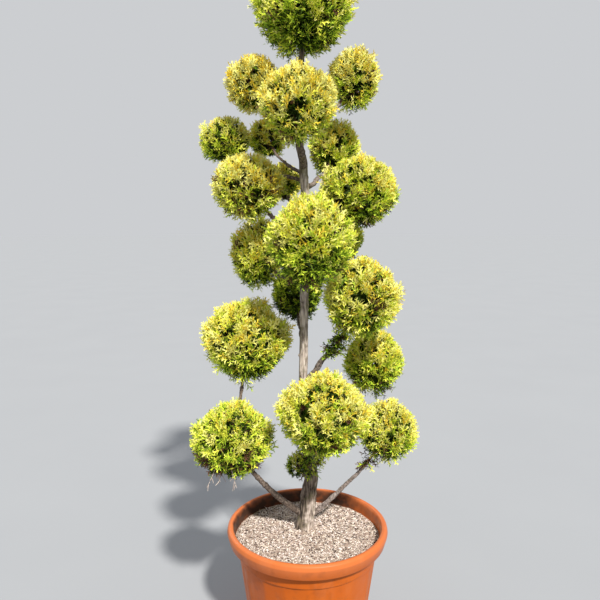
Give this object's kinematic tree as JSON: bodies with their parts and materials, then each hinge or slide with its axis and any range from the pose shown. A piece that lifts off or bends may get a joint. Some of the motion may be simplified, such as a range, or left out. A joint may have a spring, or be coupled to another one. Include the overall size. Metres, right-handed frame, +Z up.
{
  "type": "potted pompon-trained cypress tree",
  "caption": "Conifer trained as a pompon tree: one trunk and thin boughs carry clipped balls of golden-green foliage, standing in a round orange-brown plastic pot of soil.",
  "frame": {"origin": "centre of the flat underside of the pot", "axes": "+Z up along the trunk, -Y towards the viewer at the front, +X to the viewer's right"},
  "size_m": [0.8409, 0.7213, 2.5018],
  "materials": {
    "pot": "moulded orange-brown polypropylene, satin, a little faded and dusty",
    "soil": "dry crumbly potting soil, pale beige-grey on top, with bits of fibre and bark",
    "bark": "grey-brown fibrous bark, ridged along the limbs, with some green moss on the trunk",
    "foliage": "feathery sprays of scale leaves, golden yellow at the tips, green inside, brown beneath"
  },
  "bodies": {
    "root": {"pot": "pot", "soil": "soil", "trunk": "bark", "bough_base_left": "bark", "bough_base_front": "bark", "bough_base_right": "bark", "bough_base_tuft": "bark", "bough_base_back": "bark", "bough_low_left": "bark", "bough_low_right": "bark", "bough_low_back": "bark", "bough_waist_right": "bark", "bough_waist_front": "bark", "bough_waist_left": "bark", "bough_waist_back": "bark", "bough_mid_left": "bark", "bough_mid_right": "bark", "bough_mid_back": "bark", "bough_high_front": "bark", "bough_high_left": "bark", "bough_high_right": "bark", "bough_high_back": "bark", "bough_shoulder_left": "bark", "bough_shoulder_back": "bark", "bough_crown_back": "bark", "pompon_base_left": "foliage", "pompon_base_front": "foliage", "pompon_base_right": "foliage", "pompon_base_tuft": "foliage", "pompon_base_back": "foliage", "pompon_low_left": "foliage", "pompon_low_right": "foliage", "pompon_low_back": "foliage", "pompon_waist_right": "foliage", "pompon_waist_front": "foliage", "pompon_waist_left": "foliage", "pompon_waist_back": "foliage", "pompon_mid_left": "foliage", "pompon_mid_right": "foliage", "pompon_mid_back": "foliage", "pompon_high_front": "foliage", "pompon_high_left": "foliage", "pompon_high_right": "foliage", "pompon_high_back": "foliage", "pompon_shoulder_left": "foliage", "pompon_shoulder_back": "foliage", "pompon_crown_back": "foliage", "pompon_top": "foliage"}
  },
  "joints": []
}
